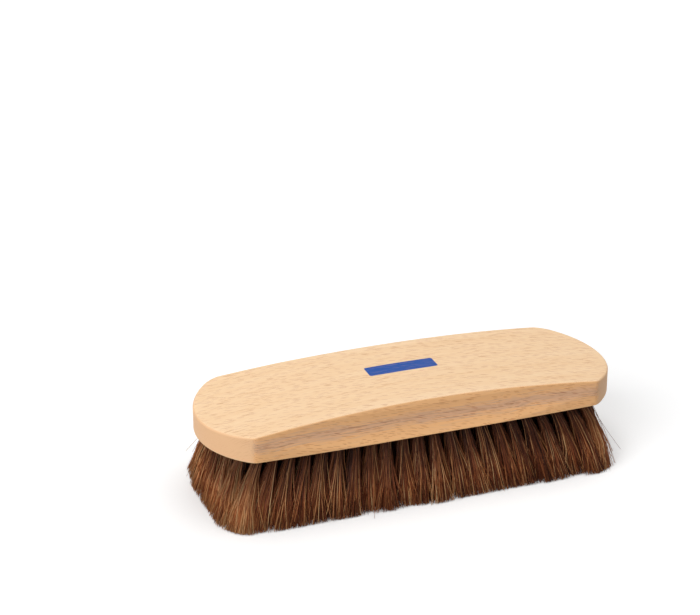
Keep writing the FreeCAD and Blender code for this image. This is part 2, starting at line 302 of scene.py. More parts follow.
    def flank(self, tree: Tree, spot: Source, streak: Source) -> Source:
        """Adds the sides' colour, deeper because they are cut along the rays, with a band of painted shade
        at mid-height in the finger hollow: pinkish between orange bands.

        Args:
            tree: The material's node tree.
            spot: The swaying place on the wood.
            streak: The fine streaks.

        Returns:
            The colour.
        """
        middle, reach = (value * MM for value in self.hollow_shade_mm)
        height = add_node(tree, "SeparateXYZ", inputs={"Vector": spot}).outputs["Z"]
        off = add_node(tree, "Math", {"operation": "SUBTRACT"}, {0: height, 1: middle})
        gap = add_node(tree, "Math", {"operation": "ABSOLUTE"}, {0: off})
        inner, outer = self.hollow_shade_tones
        # Painted shade: the sides are pinker and darker in a band along the finger hollow.
        hollow_shade = add_node(
            tree,
            "MapRange",
            inputs={
                "Value": gap,
                "From Min": self.hollow_shade_core * reach,
                "From Max": reach,
                "To Min": inner,
                "To Max": outer,
            },
        )
        toned = add_node(tree, "Math", {"operation": "ADD"}, {0: streak, 1: hollow_shade})
        stops = tuple(zip(self.flank_places, (self.vein, self.pink, self.side)))
        return add_node(tree, "ValToRGB", inputs={"Fac": toned}, stops=stops)

    def patch_mask(self, tree: Tree, place: Source) -> Source:
        """Adds a mask that is one on the plain printed patch on the back.

        Args:
            tree: The material's node tree.
            place: The place on the wood.

        Returns:
            The mask.
        """
        middle = (*(value * MM for value in self.patch_middle_mm), 0.0)
        inner = (*((value - self.patch_corner_mm) * MM for value in self.patch_half_mm), 1.0)
        origin = (0.0, 0.0, 0.0)
        steps = (("SUBTRACT", middle), ("ABSOLUTE", origin), ("SUBTRACT", inner), ("MAXIMUM", origin))
        past = place
        for operation, other in steps:
            past = add_node(tree, "VectorMath", {"operation": operation}, {0: past, 1: other})
        away = add_node(tree, "VectorMath", {"operation": "LENGTH"}, {0: past}).outputs["Value"]
        edge, soft = self.patch_corner_mm * MM, self.patch_soft_mm * MM
        inside = add_node(
            tree,
            "MapRange",
            {"interpolation_type": "SMOOTHSTEP"},
            {"Value": away, "From Min": edge + soft, "From Max": edge - soft},
        )
        height = add_node(tree, "SeparateXYZ", inputs={"Vector": place}).outputs["Z"]
        level = self.patch_above_mm * MM
        above = add_node(tree, "Math", {"operation": "GREATER_THAN"}, {0: height, 1: level})
        return add_node(tree, "Math", {"operation": "MULTIPLY"}, {0: inside, 1: above})

    def material(self) -> bpy.types.Material:
        """Builds the beech with its rays, streaks, growth bands, deeper sides and ends, painted shade along
        the sides' hollow, and plain patch.

        Returns:
            The wood's material.
        """
        material, tree = new_material("sanded_beech")
        place = add_node(tree, "TexCoord").outputs
        spot = self.drifted(tree, place["Object"])
        band = self.grain(tree, spot, self.band_mm, self.band_detail)
        streak = self.grain(tree, spot, self.streak_mm, self.streak_detail)
        blend = add_node(tree, "Math", {"operation": "ADD"}, {0: band, 1: streak})
        normal = add_node(tree, "SeparateXYZ", inputs={"Vector": place["Normal"]}).outputs
        endwise, sideways, upwards = (
            add_node(tree, "Math", {"operation": "ABSOLUTE"}, {0: normal[axis]}) for axis in "XYZ"
        )
        # The rays are seen end on at the ends of the block and hardly show there.
        spans = (
            (sideways, self.facing_span, (0.0, 1.0)),
            (upwards, self.facing_span, (1.0, 0.0)),
            (endwise, self.end_span, (0.0, 1.0)),
            (endwise, self.ray_fade, self.ray_strength),
            (blend, self.ground_span, (0.0, 1.0)),
            (streak, self.roughness_span, self.roughness),
        )
        turned, steep, butt, strength, wood, dull = (
            add_node(
                tree,
                "MapRange",
                inputs={"Value": value, "From Min": low, "From Max": high, "To Min": start, "To Max": stop},
            )
            for value, (low, high), (start, stop) in spans
        )
        ray = self.flecks(tree, self.slanted(tree, spot, turned, steep))
        mask = self.patch_mask(tree, place["Object"])
        # The rays are a little fainter on the sides, and the print is a little worn over the rays.
        thinned, worn = (
            add_node(tree, "MapRange", inputs={"Value": value, "To Min": 1.0, "To Max": share})
            for value, share in ((turned, self.side_rays), (ray, self.patch_wear))
        )
        shown, printed = (
            add_node(tree, "Math", {"operation": "MULTIPLY"}, {0: one, 1: other})
            for one, other in ((strength, thinned), (mask, worn))
        )
        dash = add_node(tree, "Math", {"operation": "MULTIPLY"}, {0: ray, 1: shown})
        ground = ((0.0, self.pale), (1.0, self.warm))
        colour = add_node(tree, "ValToRGB", inputs={"Fac": wood}, stops=ground)
        layers = (
            ("MIX", turned, self.flank(tree, spot, streak)),
            ("MIX", butt, linear(self.end)),
            ("MULTIPLY", dash, linear(self.ray)),
            ("MIX", printed, linear(self.patch)),
        )
        for blend_type, share, layer in layers:
            colour = add_node(
                tree,
                "Mix",
                {"data_type": "RGBA", "blend_type": blend_type},
                {"Factor": share, 6: colour, 7: layer},
            ).outputs[2]
        relief = {"Strength": self.relief, "Distance": self.relief_mm * MM, "Height": ray}
        bumped = add_node(tree, "Bump", {"invert": True}, relief)
        shader = add_node(
            tree,
            "BsdfPrincipled",
            inputs={
                "Base Color": colour,
                "Roughness": dull,
                "IOR": self.ior,
                "Specular IOR Level": self.specular,
                "Normal": bumped,
            },
        )
        add_node(tree, "OutputMaterial", inputs={"Surface": shader})
        return material


@dataclass(frozen=True)
class HorsehairFinish:
    """Natural horsehair: smooth strands, mostly dark brown, with some reddish and some golden ones."""

    tones: tuple[tuple[float, str], ...] = (
        (0.0, "#2b130a"),
        (0.3, "#6c3a25"),
        (0.55, "#a05e3c"),
        (0.75, "#ca8a5a"),
        (0.88, "#e2ae7c"),
        (1.0, "#f0d0a2"),
    )
    # Painted shade at the root, where the block and the other tufts shade the hair, and painted light
    # towards the tip.
    painted_shade_along: tuple[tuple[float, str], ...] = (
        (0.0, "#1a1512"),
        (0.25, "#83766e"),
        (0.5, "#b4a89e"),
        (0.8, "#fff4e8"),
        (1.0, "#fffaf2"),
    )
    roughness: tuple[float, float] = (0.34, 0.46)
    ior: float = 1.55
    specular: float = 0.12

    def material(self) -> bpy.types.Material:
        """Builds the hair from its own map alone: tone across the map, and up it the place along the
        strand, which paints shade at the root and light towards the tip.

        Returns:
            The hair's material.
        """
        material, tree = new_material("horsehair")
        place = add_node(tree, "UVMap", {"uv_map": HAIR_MAP})
        split = add_node(tree, "SeparateXYZ", inputs={"Vector": place}).outputs
        tone = add_node(tree, "ValToRGB", inputs={"Fac": split["X"]}, stops=self.tones)
        # The place along the strand gives painted shade at the root and painted light towards the tip.
        along = add_node(tree, "ValToRGB", inputs={"Fac": split["Y"]}, stops=self.painted_shade_along)
        colour = add_node(
            tree,
            "Mix",
            {"data_type": "RGBA", "blend_type": "MULTIPLY"},
            {"Factor": 1.0, 6: tone, 7: along},
        ).outputs[2]
        smooth, rough = self.roughness
        gloss = add_node(tree, "MapRange", inputs={"Value": split["X"], "To Min": smooth, "To Max": rough})
        hair = add_node(
            tree,
            "BsdfPrincipled",
            inputs={
                "Base Color": colour,
                "Roughness": gloss,
                "IOR": self.ior,
                "Specular IOR Level": self.specular,
            },
        )
        add_node(tree, "OutputMaterial", inputs={"Surface": hair})
        return material


@dataclass(frozen=True)
class DrawnWireFinish:
    """Drawn and flattened steel wire: bright grey metal with faint lengthwise draw marks."""

    bright: str = "#c9c8c4"
    dark: str = "#a3a29e"
    mark_mm: tuple[float, float] = (3.0, 0.12)
    mark_detail: float = 2.0
    mark_span: tuple[float, float] = (0.3, 0.7)
    roughness: tuple[float, float] = (0.25, 0.45)

    def material(self) -> bpy.types.Material:
        """Builds the steel with draw marks along the wire.

        Returns:
            The steel's material.
        """
        material, tree = new_material("drawn_steel_wire")
        place = add_node(tree, "TexCoord").outputs["Object"]
        long, fine = (1 / (value * MM) for value in self.mark_mm)
        mapped = add_node(tree, "Mapping", inputs={"Vector": place, "Scale": (fine, long, fine)})
        inputs = {"Vector": mapped, "Scale": 1.0, "Detail": self.mark_detail}
        marks = add_node(tree, "TexNoise", inputs=inputs)
        stops = tuple(zip(self.mark_span, (self.dark, self.bright)))
        colour = add_node(tree, "ValToRGB", inputs={"Fac": marks}, stops=stops)
        smooth, rough = self.roughness
        dull = add_node(tree, "MapRange", inputs={"Value": marks, "To Min": smooth, "To Max": rough})
        inputs = {"Base Color": colour, "Metallic": 1.0, "Roughness": dull}
        steel = add_node(tree, "BsdfPrincipled", inputs=inputs)
        add_node(tree, "OutputMaterial", inputs={"Surface": steel})
        return material


@dataclass(frozen=True)
class PaperFloorFinish:
    """Seamless white paper: matt, and white to the camera apart from the brush's soft shadow."""

    paper: str = "#a8a8a8"
    seen: str = "#ffffff"
    lift: float = 0.12

    def material(self) -> bpy.types.Material:
        """Builds the paper, which is lifted to white where it is seen and not in the light it throws back.

        Returns:
            The paper's material.
        """
        material, tree = new_material("white_paper")
        shown = shown_white(tree)
        lifted = add_node(tree, "Math", {"operation": "MULTIPLY"}, {0: shown, 1: self.lift})
        glow = add_node(tree, "Emission", inputs={"Strength": lifted})
        tint = add_node(
            tree,
            "Mix",
            {"data_type": "RGBA"},
            {"Factor": shown, 6: linear(self.paper), 7: linear(self.seen)},
        ).outputs[2]
        paper = add_node(tree, "BsdfDiffuse", inputs={"Color": tint})
        both = add_node(tree, "AddShader", inputs={0: paper, 1: glow})
        add_node(tree, "OutputMaterial", inputs={"Surface": both})
        return material


@dataclass
class BeechBlock:
    """The arched block: rounded ends, bowed sides, a finger hollow along each side and drilled holes."""

    length: float = 180.0
    width: float = 61.5
    height: float = 15.3
    end_height: float = 9.4
    side_bow: float = 1.6
    end_round: float = 16.8
    near_corner: float = 6.0
    far_corner: float = 14.0
    grip_depth: float = 2.5
    grip_height: float = 10.4
    grip_radius: float = 24.0
    grip_path: float = 2000.0
    lip_height: float = 12.9
    lip_lean: float = 10.0
    underside: float = 28.5
    back_edge: float = 0.8
    low_edge: float = 0.25
    sanding: float = 0.06
    smooth_degrees: float = 40.0
    wall_steps: tuple[int, int] = (30, 8)
    edge_steps: int = 5
    arc_points: tuple[int, int, int] = (20, 20, 50)
    back_rings: tuple[float, ...] = (0.985, 0.95, 0.88, 0.76, 0.6, 0.42, 0.22)
    finish: BeechFinish = field(default_factory=BeechFinish)

    @staticmethod
    def arc_radius(half_chord: float, rise: float) -> float:
        """Gives the radius of the arc that rises so far over a chord."""
        return (half_chord**2 + rise**2) / (2 * rise)

    def quarter(self, round_off: float) -> np.ndarray:
        """Traces a quarter of the block seen from above, from the right end to the middle of the far side.

        Args:
            round_off: Radius of the corner between the end and the side.

        Returns:
            Points counter-clockwise, with none on the two axes.
        """
        half = self.length / 2
        end = self.arc_radius(self.width / 2, self.end_round)
        side = self.arc_radius(half, self.side_bow)
        end_x, side_y = half - end, self.width / 2 - side
        to_end, to_side = end - round_off, side - round_off
        apart = math.hypot(end_x, side_y)
        along = (to_end**2 - to_side**2 + apart**2) / (2 * apart)
        off = math.sqrt(to_end**2 - along**2)
        aim = np.array([-end_x, side_y]) / apart
        corner = np.abs(np.array([end_x, 0.0]) + along * aim + off * np.array([-aim[1], aim[0]]))
        low = math.atan2(corner[1], corner[0] - end_x)
        high = math.atan2(corner[1] - side_y, corner[0])
        arcs = (
            ((end_x, 0.0), end, 0.0, low),
            (corner, round_off, low, high),
            ((0.0, side_y), side, high, math.pi / 2),
        )
        points = []
        for count, (middle, radius, start, stop) in zip(self.arc_points, arcs):
            turn = start + (stop - start) * (np.arange(count) + 0.5) / count
            points.append(np.c_[middle[0] + radius * np.cos(turn), middle[1] + radius * np.sin(turn)])
        return np.vstack(points)

    def outline(self) -> np.ndarray:
        """Traces the block seen from above, with crisper corners on its near side than on its far side."""
        far, near = self.quarter(self.far_corner), self.quarter(self.near_corner)
        return np.vstack([far, far[::-1] * [-1, 1], near * [-1, -1], near[::-1] * [1, -1]])

    def back(self, x: np.ndarray) -> np.ndarray:
        """Gives the height of the arched back above the underside at each x."""
        bend = self.arc_radius(self.length / 2, self.height - self.end_height)
        return self.height - bend + np.sqrt(bend**2 - x**2)

    def hollow(self, z: np.ndarray) -> np.ndarray:
        """Gives how far out the finger hollow's cutter lets the side stand, at mid-length.

        Args:
            z: Heights above the underside.

        Returns:
            Distances from the block's middle plane.
        """
        middle = self.width / 2 - self.grip_depth + self.grip_radius
        rise = np.clip(z, None, self.lip_height) - self.grip_height
        cove = middle - np.sqrt(self.grip_radius**2 - rise**2)
        return cove - np.maximum(z - self.lip_height, 0) * math.tan(math.radians(self.lip_lean))

    def wall(self, plan: np.ndarray, z: np.ndarray) -> np.ndarray:
        """Gives the side wall's points at some height, hollowed for the fingers and softened by sanding.

        Args:
            plan: The outline's points.
            z: Height of each point above the underside.

        Returns:
            The points seen from above.
        """
        pivot = self.width / 2 - self.grip_depth + self.grip_path
        swing = pivot - self.hollow(z)
        cutter = pivot - np.sqrt(swing**2 - plan[:, 0] ** 2)
        side = np.abs(plan[:, 1])
        near = np.minimum(side, cutter)
        far = np.maximum(side, cutter)
        soft = near - self.sanding * np.log1p(np.exp(-(far - near) / self.sanding))
        return np.c_[plan[:, 0], np.sign(plan[:, 1]) * soft]

    @staticmethod
    def inwards(plan: np.ndarray) -> np.ndarray:
        """Gives the directions that point into an outline.

        Args:
            plan: The outline's points, counter-clockwise.

        Returns:
            A direction of length one for each point.
        """
        along = np.roll(plan, -1, 0) - np.roll(plan, 1, 0)
        normal = np.c_[-along[:, 1], along[:, 0]]
        return normal / np.linalg.norm(normal, axis=1)[:, None]

    def rings(self) -> list[np.ndarray]:
        """Lists the block's rings of points from its underside, up its wall and over its edge to its back.

        Returns:
            Rings with as many points each, in metres.
        """
        plan = self.outline()
        top = self.back(plan[:, 0])
        foot = self.wall(plan, np.full(len(plan), self.low_edge))
        rings = []
        for turn in np.linspace(0, math.pi / 2, self.edge_steps + 1)[:-1]:
            step = foot + self.inwards(foot) * self.low_edge * (1 - math.sin(turn))
            rings.append(np.c_[step, np.full(len(plan), self.low_edge * (1 - math.cos(turn)))])
        brow = top - self.back_edge
        lip = np.minimum(self.lip_height, brow - self.back_edge / 2)
        low, high = self.wall_steps
        levels = [self.low_edge + share * (lip - self.low_edge) for share in np.linspace(0, 1, low + 1)]
        levels += [lip + share * (brow - lip) for share in np.linspace(0, 1, high + 1)[1:]]
        rings += [np.c_[self.wall(plan, z), z] for z in levels]
        edge = rings[-1][:, :2]
        for turn in np.linspace(0, math.pi / 2, self.edge_steps + 1)[1:]:
            step = edge + self.inwards(edge) * self.back_edge * (1 - math.cos(turn))
            rings.append(np.c_[step, self.back(step[:, 0]) - self.back_edge * (1 - math.sin(turn))])
        rim = rings[-1][:, :2]
        for share in self.back_rings:
            rings.append(np.c_[rim * share, self.back(rim[:, 0] * share)])
        return [(ring + [0, 0, self.underside]) * MM for ring in rings]

    @staticmethod
    def place_selected(piece: bpy.types.Object, ring: np.ndarray) -> None:
        """Moves the selected ring of vertices to its points, in their order round the middle.

        Args:
            piece: The object in edit mode.
            ring: As many points as there are selected vertices.
        """
        mesh = bmesh.from_edit_mesh(piece.data)
        chosen = sorted((v for v in mesh.verts if v.select), key=lambda v: math.atan2(v.co.y, v.co.x))
        order = np.argsort(np.arctan2(ring[:, 1], ring[:, 0]))
        for vertex, point in zip(chosen, ring[order], strict=True):
            vertex.co = point
        bmesh.update_edit_mesh(piece.data)

    def build(self, holes: bpy.types.Object) -> bpy.types.Object:
        """Raises the block ring by ring from a disc and drills it.

        Args:
            holes: The joined drills, which are used up.

        Returns:
            The finished block.
        """
        rings = self.rings()
        deselect_all()
        bpy.ops.mesh.primitive_circle_add(vertices=len(rings[0]), radius=self.width * MM, fill_type="NGON")
        piece = bpy.context.object
        piece.name = piece.data.name = "block"
        bpy.ops.object.mode_set(mode="EDIT")
        bpy.ops.mesh.select_mode(type="FACE")
        turn = math.pi / len(rings[0])
        bpy.ops.transform.rotate(value=turn, orient_axis="Z", center_override=(0, 0, 0))
        self.place_selected(piece, rings[0])
        for ring in rings[1:]:
            bpy.ops.mesh.extrude_region_move()
            self.place_selected(piece, ring)
        bpy.ops.mesh.poke()
        bpy.ops.mesh.select_all(action="SELECT")
        bpy.ops.mesh.normals_make_consistent(inside=False)
        bpy.ops.object.mode_set(mode="OBJECT")
        drilled = piece.modifiers.new("drilled", "BOOLEAN")
        drilled.object = holes
        drilled.operation = "DIFFERENCE"
        drilled.solver = "EXACT"
        bpy.ops.object.modifier_apply(modifier=drilled.name)
        bpy.data.objects.remove(holes)
        bpy.ops.object.shade_smooth_by_angle(angle=math.radians(self.smooth_degrees))
        return piece

    def dress(self, piece: bpy.types.Object) -> None:
        """Gives the block its wood and puts it in the solid block's place.

        Args:
            piece: The finished block.
        """
        piece.data.materials.clear()
        piece.data.materials.append(self.finish.material())
        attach(piece, BODY)
        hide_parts("beech_block")


@dataclass(frozen=True)
class Tuft:
    """One tuft: its hole's mouth, its trimmed end's middle and half width, and if it stands outermost."""

    mouth: np.ndarray
    tip: np.ndarray
    half: np.ndarray
    rim: bool


@dataclass
class TuftField:
    """The tufts' places: cross rows that follow the round ends and lean outwards to the ends and sides."""

    block: BeechBlock
    rows_across: int = 7
    rows_along: int = 22
    side_margin: float = 8.8
    end_margin: float = 13.0
    end_flare: float = 8.4
    side_flare: float = 8.8
    trim_bow: float = 1.0
    trim_round: float = 3.0
    trim_corner: float = 11.0
    trim_pull: tuple[float, float] = (0.5, 6.5)
    trim_pull_power: int = 4
    hole_diameter: float = 4.6
    hole_depth: float = 8.0
    hole_sides: int = 14
    drill_spare: float = 1.5

    def tuft(self, column: int, row: int) -> Tuft:
        """Works out one tuft's place.

        Args:
            column: Number of its cross row, from the left end.
            row: Number within the cross row.

        Returns:
            The tuft, in millimetres.
        """
        block = self.block
        across = 2 * row / (self.rows_across - 1) - 1
        along = 2 * column / (self.rows_along - 1) - 1
        side = block.width / 2 - self.side_margin
        last = block.length / 2 - self.end_margin
        bend = block.arc_radius(block.width / 2, block.end_round)
        y = across * side
        end = last - bend + math.sqrt(bend**2 - y**2)
        reach_x = last + self.end_flare - self.trim_round * across**2
        reach_y = side + self.side_flare - self.trim_bow * along**2
        half = np.array([reach_x / (self.rows_along - 1), reach_y / (self.rows_across - 1)])
        mouth = np.array([along * end, y, block.underside])
        rim = max(abs(along), abs(across)) == 1
        return Tuft(mouth, np.array([along * reach_x, across * reach_y, 0.0]), half, rim)

    def trim(self, points: np.ndarray) -> np.ndarray:
        """Brings hair tips inside the trimmed face, which has rounded corners and is pulled in at its ends.

        Args:
            points: The tips seen from above.

        Returns:
            The tips, with those outside moved to the edge.
        """
        columns, rows = self.rows_along, self.rows_across
        last = self.block.length / 2 - self.end_margin + self.end_flare
        side = self.block.width / 2 - self.side_margin + self.side_flare
        half = np.array([last * columns / (columns - 1), side * rows / (rows - 1)])
        share = points / half
        left, right = (np.clip(share[:, 0] * way, 0, 1) ** self.trim_pull_power for way in (-1, 1))
        points = points + np.c_[left * self.trim_pull[0] - right * self.trim_pull[1], np.zeros(len(points))]
        half = half - np.c_[self.trim_round * share[:, 1] ** 2, self.trim_bow * share[:, 0] ** 2]
        inner = half - self.trim_corner
        past = np.maximum(np.abs(points) - inner, 0)
        away = np.linalg.norm(past, axis=1)
        over = np.maximum(away / self.trim_corner, 1)[:, None]
        return np.where(past > 0, np.sign(points) * (inner + past / over), points)

    def row(self, column: int) -> list[Tuft]:
        """Lists the tufts of one cross row."""
        return [self.tuft(column, row) for row in range(self.rows_across)]

    def drills(self) -> bpy.types.Object:
        """Models one drill, copies it along every tuft's lean and joins the copies.

        Returns:
            The joined drills, which reach below the underside.
        """
        deselect_all()
        reach = (self.hole_depth + self.drill_spare) * MM
        radius = self.hole_diameter / 2 * MM
        bpy.ops.mesh.primitive_cylinder_add(vertices=self.hole_sides, radius=radius, depth=reach)
        first = bpy.context.object
        bpy.ops.object.mode_set(mode="EDIT")
        bpy.ops.mesh.select_all(action="SELECT")
        bpy.ops.transform.translate(value=(0, 0, reach / 2 - self.drill_spare * MM))
        bpy.ops.object.mode_set(mode="OBJECT")
        for column in range(self.rows_along):
            for tuft in self.row(column):
                drill = first.copy()
                drill.data = first.data.copy()
                drill.rotation_mode = "QUATERNION"
                drill.rotation_quaternion = Vector(tuft.mouth - tuft.tip).to_track_quat("Z", "Y")
                drill.location = Vector(tuft.mouth * MM)
                bpy.context.collection.objects.link(drill)
                drill.select_set(True)
        bpy.ops.object.join()
        bpy.ops.object.transform_apply()
        joined = bpy.context.object
        joined.name = "drills"
        return joined


@dataclass(frozen=True)
class Hairs:
    """Hairs in millimetres, as arrays with one entry to a hair.

    Each has its hole's mouth, its tuft's lean, its root's and its tip's place off the tuft's middle line, a
    sideways bend, its tip's rise off the floor, a tone from nought, dark, to one, pale, and a root shade.
    """

    mouths: np.ndarray
    leans: np.ndarray
    roots: np.ndarray
    spreads: np.ndarray
    bends: np.ndarray
    rises: np.ndarray
    tones: np.ndarray
    shades: np.ndarray

    @classmethod
    def joined(cls, tufts: Sequence["Hairs"]) -> "Hairs":
        """Puts the hairs of several tufts in one list."""
        names = [entry.name for entry in fields(cls)]
        return cls(*(np.concatenate([getattr(hairs, name) for hairs in tufts]) for name in names))


@dataclass
class HairRow:
    """One cross row of tufts: fine strands that leave their holes in bunches and spread to the trim."""

    tufts: TuftField
    column: int
    seed: int = 7100
    rim_hairs: int = 850
    inner_hairs: int = 280
    wisp_size: int = 4
    strand_radius: float = 0.12
    strand_cuts: int = 2
    thinnest: float = 0.75
    thicken: float = 0.8
    taper: float = 0.3
    root_radius: float = 1.2
    root_depth: float = 2.5
    root_jitter: float = 0.2
    order: float = 0.55
    overlap: float = 1.2
    tip_jitter: float = 0.5
    wisp_bend: float = 0.55
    hair_bend: float = 0.25
    wisp_rise: float = 0.15
    hair_rise: float = 0.25
    cross_lean: float = 2.8
    stray_reach: tuple[float, float] = (0.5, 4.0)
    stray_jitter: float = 1.2
    stray_rise: float = 5.0
    tuft_jitter: float = 0.6
    trim_jitter: float = 0.3
    droop: float = 0.4
    fan: float = 1.65
    tone: float = 0.335
    # Painted light: the hair is paler towards the left end and at the two ends.
    painted_light_fall: float = 0.05
    painted_end_light: float = 0.29
    painted_end_light_power: int = 14
    tuft_tone: float = 0.04
    wisp_tone: float = 0.07
    hair_tone: float = 0.16
    golden_share: float = 0.11
    golden_loose: float = 0.28
    golden_tones: tuple[float, float] = (0.62, 0.97)
    tone_limits: tuple[float, float] = (0.03, 0.97)
    # Where a root starts on the painted shade along the strand; the inner tufts' roots are painted darker.
    rim_shade: float = 0.13
    inner_shade: float = 0.02
    map_width: float = 0.008
    map_top: float = 0.98

    def strand(self) -> bpy.types.Object:
        """Models a three-sided strand, one long and one in radius, with cuts to bend at.

        Returns:
            The strand, which every hair is a copy of.
        """
        deselect_all()
        bpy.ops.mesh.primitive_cylinder_add(vertices=3, radius=1, depth=1, location=(0, 0, 0.5))
        bpy.ops.object.transform_apply()
        piece = bpy.context.object
        bpy.ops.object.mode_set(mode="EDIT")
        bpy.ops.mesh.select_mode(type="EDGE")
        bpy.ops.mesh.select_all(action="DESELECT")
        mesh = bmesh.from_edit_mesh(piece.data)
        for edge in mesh.edges:
            edge.select_set(abs(edge.verts[0].co.z - edge.verts[1].co.z) > 0.5)
        bmesh.update_edit_mesh(piece.data)
        bpy.ops.mesh.subdivide(number_cuts=self.strand_cuts)
        bpy.ops.object.mode_set(mode="OBJECT")
        return piece

    def growth(self, dice: np.random.Generator, count: int) -> np.ndarray:
        """Deals out how each hair stands."""
        kinds = list(Growth)
        return np.array(kinds)[dice.choice(len(kinds), count, p=[kind.value for kind in kinds])]

    @staticmethod
    def scatter(dice: np.random.Generator, count: int) -> np.ndarray:
        """Deals out points evenly over a disc of radius one."""
        turn = dice.uniform(0, 2 * math.pi, count)
        return np.sqrt(dice.uniform(0, 1, (count, 1))) * np.c_[np.cos(turn), np.sin(turn)]

    def tint(
        self, dice: np.random.Generator, wisp: np.ndarray, wisps: int, loose: np.ndarray
    ) -> np.ndarray:
        """Deals out the tones of one tuft's hairs, with more golden ones among the loose hairs.

        Args:
            dice: The seeded random numbers.
            wisp: Number of each hair's wisp.
            wisps: How many wisps there are.
            loose: Which hairs cross others or stray.

        Returns:
            Tones from nought, dark, to one, pale.
        """
        # Painted light: the hair is painted paler towards the left end, where the key light falls, and
        # paler still at the two ends of the brush.
        along = 2 * self.column / (self.tufts.rows_along - 1) - 1
        middle = self.tone - self.painted_light_fall * along + self.painted_end_light * along**self.painted_end_light_power
        tone = dice.normal(middle, self.tuft_tone) + dice.normal(0, self.wisp_tone, wisps)[wisp]
        tone += dice.normal(0, self.hair_tone, len(wisp))
        golden = dice.uniform(0, 1, len(wisp)) < np.where(loose, self.golden_loose, self.golden_share)
        tone[golden] = dice.uniform(*self.golden_tones, golden.sum())
        return np.clip(tone, *self.tone_limits)

    def comb(self, dice: np.random.Generator, tuft: Tuft) -> Hairs:
        """Lays out the hairs of one tuft, wisp by wisp.

        Args:
            dice: The seeded random numbers.
            tuft: The tuft's place.

        Returns:
            The tuft's hairs.
        """
        count = self.rim_hairs if tuft.rim else self.inner_hairs
        wisps = count // self.wisp_size
        wisp = dice.integers(0, wisps, count)
        home, away = self.scatter(dice, wisps), self.scatter(dice, wisps)
        aim = self.order * home + math.sqrt(1 - self.order**2) * away
        aim = aim / np.maximum(np.max(np.abs(aim), axis=1), 1)[:, None]
        roots = home[wisp] * self.root_radius + dice.normal(0, self.root_jitter, (count, 2))
        spread = aim[wisp] * tuft.half * self.overlap + dice.normal(0, self.tip_jitter, (count, 2))
        bend = dice.normal(0, self.wisp_bend, (wisps, 2))[wisp] + dice.normal(0, self.hair_bend, (count, 2))
        rise = np.abs(dice.normal(0, self.wisp_rise, wisps))[wisp]
        rise += np.abs(dice.normal(0, self.hair_rise, count))
        kind = self.growth(dice, count)
        crossing, stray = kind == Growth.CROSSING, kind == Growth.STRAY
        spread[crossing] += dice.normal(0, self.cross_lean, (crossing.sum(), 2))
        lean = tuft.tip - tuft.mouth
        outwards = lean[:2] / max(np.linalg.norm(lean[:2]), TINY)
        spread[stray] += outwards * dice.uniform(*self.stray_reach, (stray.sum(), 1))
        spread[stray] += dice.normal(0, self.stray_jitter, (stray.sum(), 2))
        rise[stray] += dice.uniform(0, self.stray_rise, stray.sum())
        spread[~stray] = self.tufts.trim(tuft.tip[:2] + spread[~stray]) - tuft.tip[:2]
        spread += dice.normal(0, self.tuft_jitter, 2) + dice.normal(0, self.trim_jitter, (count, 2))
        return Hairs(
            mouths=np.tile(tuft.mouth, (count, 1)),
            leans=np.tile(lean, (count, 1)),
            roots=roots,
            spreads=spread,
            bends=bend,
            rises=rise,
            tones=self.tint(dice, wisp, wisps, crossing | stray),
            shades=np.full(count, self.rim_shade if tuft.rim else self.inner_shade),
        )

    def curves(self, hairs: Hairs, model: np.ndarray) -> np.ndarray:
        """Bends a copy of the strand along every hair.

        Args:
            hairs: The row's hairs.
            model: The strand's vertices.

        Returns:
            The vertices of every copy, in millimetres.
        """
        share = model[:, 2]
        # A tuft leans out most at its hole and hangs down at the trim, and its hairs fan out late.
        lean = (share + self.droop * share * (1 - share))[None, :, None]
        fan = (share**self.fan)[None, :, None]
        bow = np.sin(math.pi * share)[None, :, None]
        points = np.empty((len(hairs.roots), len(model), 3))
        points[:, :, :2] = hairs.mouths[:, None, :2] + hairs.leans[:, None, :2] * lean
        points[:, :, :2] += hairs.roots[:, None] + (hairs.spreads - hairs.roots)[:, None] * fan
        points[:, :, :2] += hairs.bends[:, None] * bow
        top = hairs.mouths[:, 2] + self.root_depth
        points[:, :, 2] = top[:, None] + (hairs.rises - top)[:, None] * share[None]
        # Pale hairs are thicker than dark ones, and every hair tapers to its tip.
        radius = self.strand_radius * (self.thinnest + self.thicken * hairs.tones)
        thick = radius[:, None] * (1 - self.taper * share)[None]
        points[:, :, :2] += model[None, :, :2] * thick[:, :, None]
        points[:, :, 2] = np.maximum(points[:, :, 2], 0)
        return points

    def build(self, strand: bpy.types.Object) -> bpy.types.Object:
        """Copies the strand to every hair of the row, as one mesh.

        Args:
            strand: The one modelled strand.

        Returns:
            The row of tufts.
        """
        dice = np.random.default_rng(self.seed + self.column)
        hairs = Hairs.joined([self.comb(dice, tuft) for tuft in self.tufts.row(self.column)])
        count = len(hairs.roots)
        model = np.array([v.co for v in strand.data.vertices])
        # The strand's face at the root is hidden in the hole and left out.
        faces = [p for p in strand.data.polygons if p.center.z > TINY]
        starts = np.cumsum([0] + [len(p.vertices) for p in faces])[:-1]
        corners = np.concatenate([list(p.vertices) for p in faces])
        mesh = bpy.data.meshes.new(f"hair_row_{self.column + 1:02d}")
        mesh.vertices.add(count * len(model))
        mesh.loops.add(count * len(corners))
        mesh.polygons.add(count * len(faces))
        step = np.arange(count)[:, None]
        points = self.curves(hairs, model) * MM
        mesh.vertices.foreach_set("co", points.astype(np.float32).ravel())
        mesh.loops.foreach_set("vertex_index", (corners + step * len(model)).astype(np.int32).ravel())
        mesh.polygons.foreach_set("loop_start", (starts + step * len(corners)).astype(np.int32).ravel())
